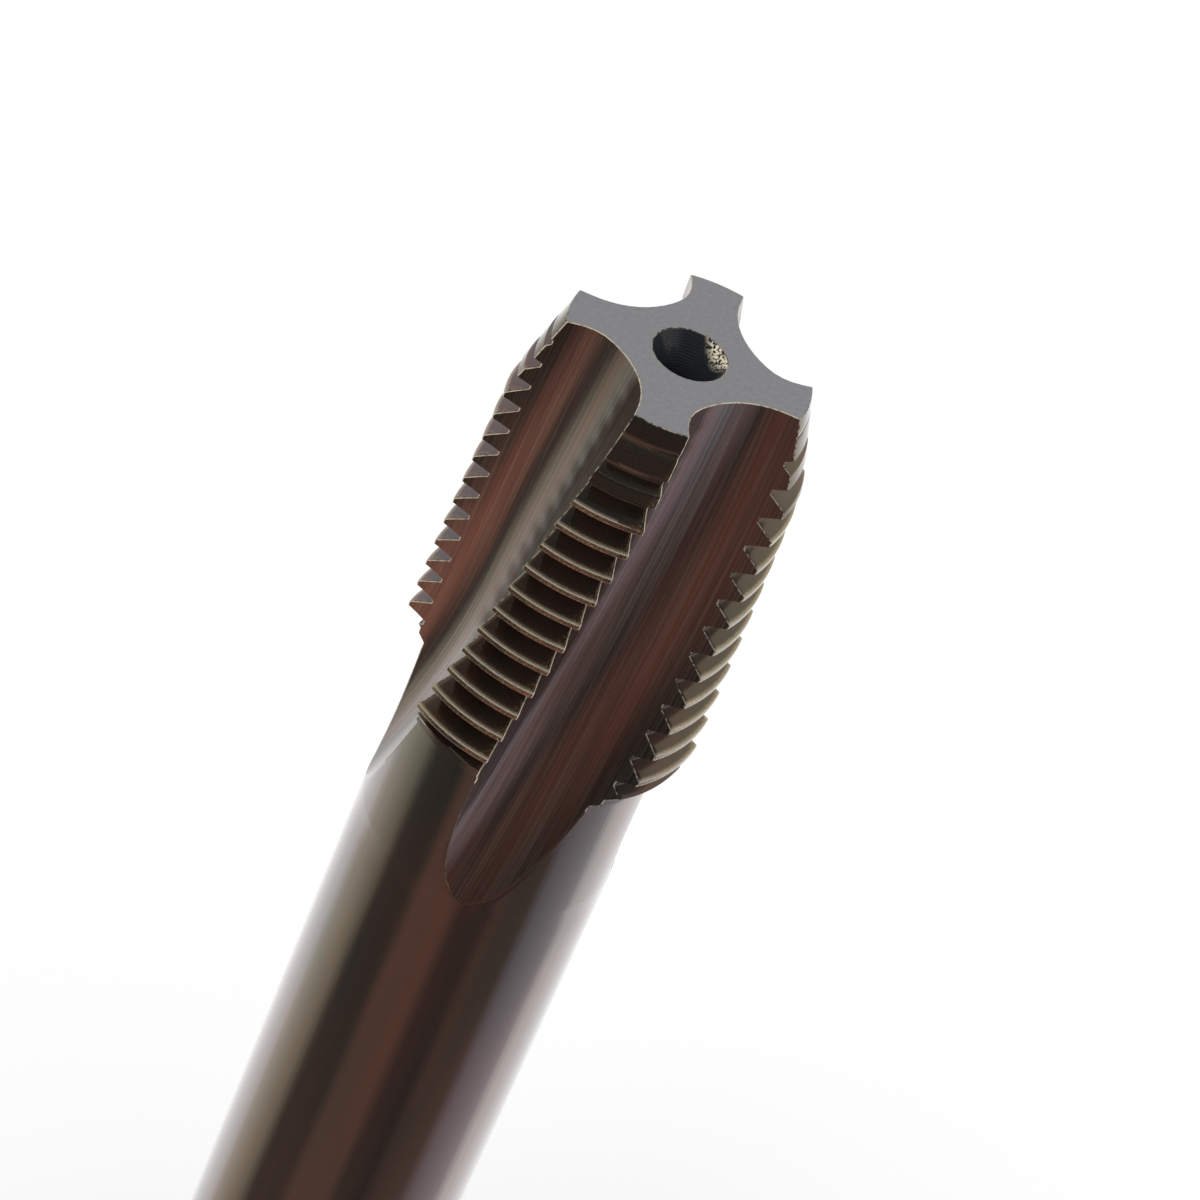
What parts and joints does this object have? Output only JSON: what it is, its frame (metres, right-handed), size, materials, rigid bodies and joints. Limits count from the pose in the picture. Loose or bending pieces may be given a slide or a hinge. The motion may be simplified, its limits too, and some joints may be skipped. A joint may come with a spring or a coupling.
{
  "type": "thread tap",
  "caption": "Taper pipe thread tap with spiral flutes, a plain round shank and a driving square at its end.",
  "frame": {"origin": "centre of the shank's end face, on which the tap stands", "axes": "+Z along the tap's axis, from the driving square to the cutting end; +X and +Y square to two pairs of the driving flats"},
  "size_m": [0.0132, 0.0132, 0.067],
  "materials": {
    "oxide_coated_steel": "ground high speed steel with a dark steam oxide coat"
  },
  "bodies": {
    "root": {"tap": "oxide_coated_steel"}
  },
  "joints": []
}
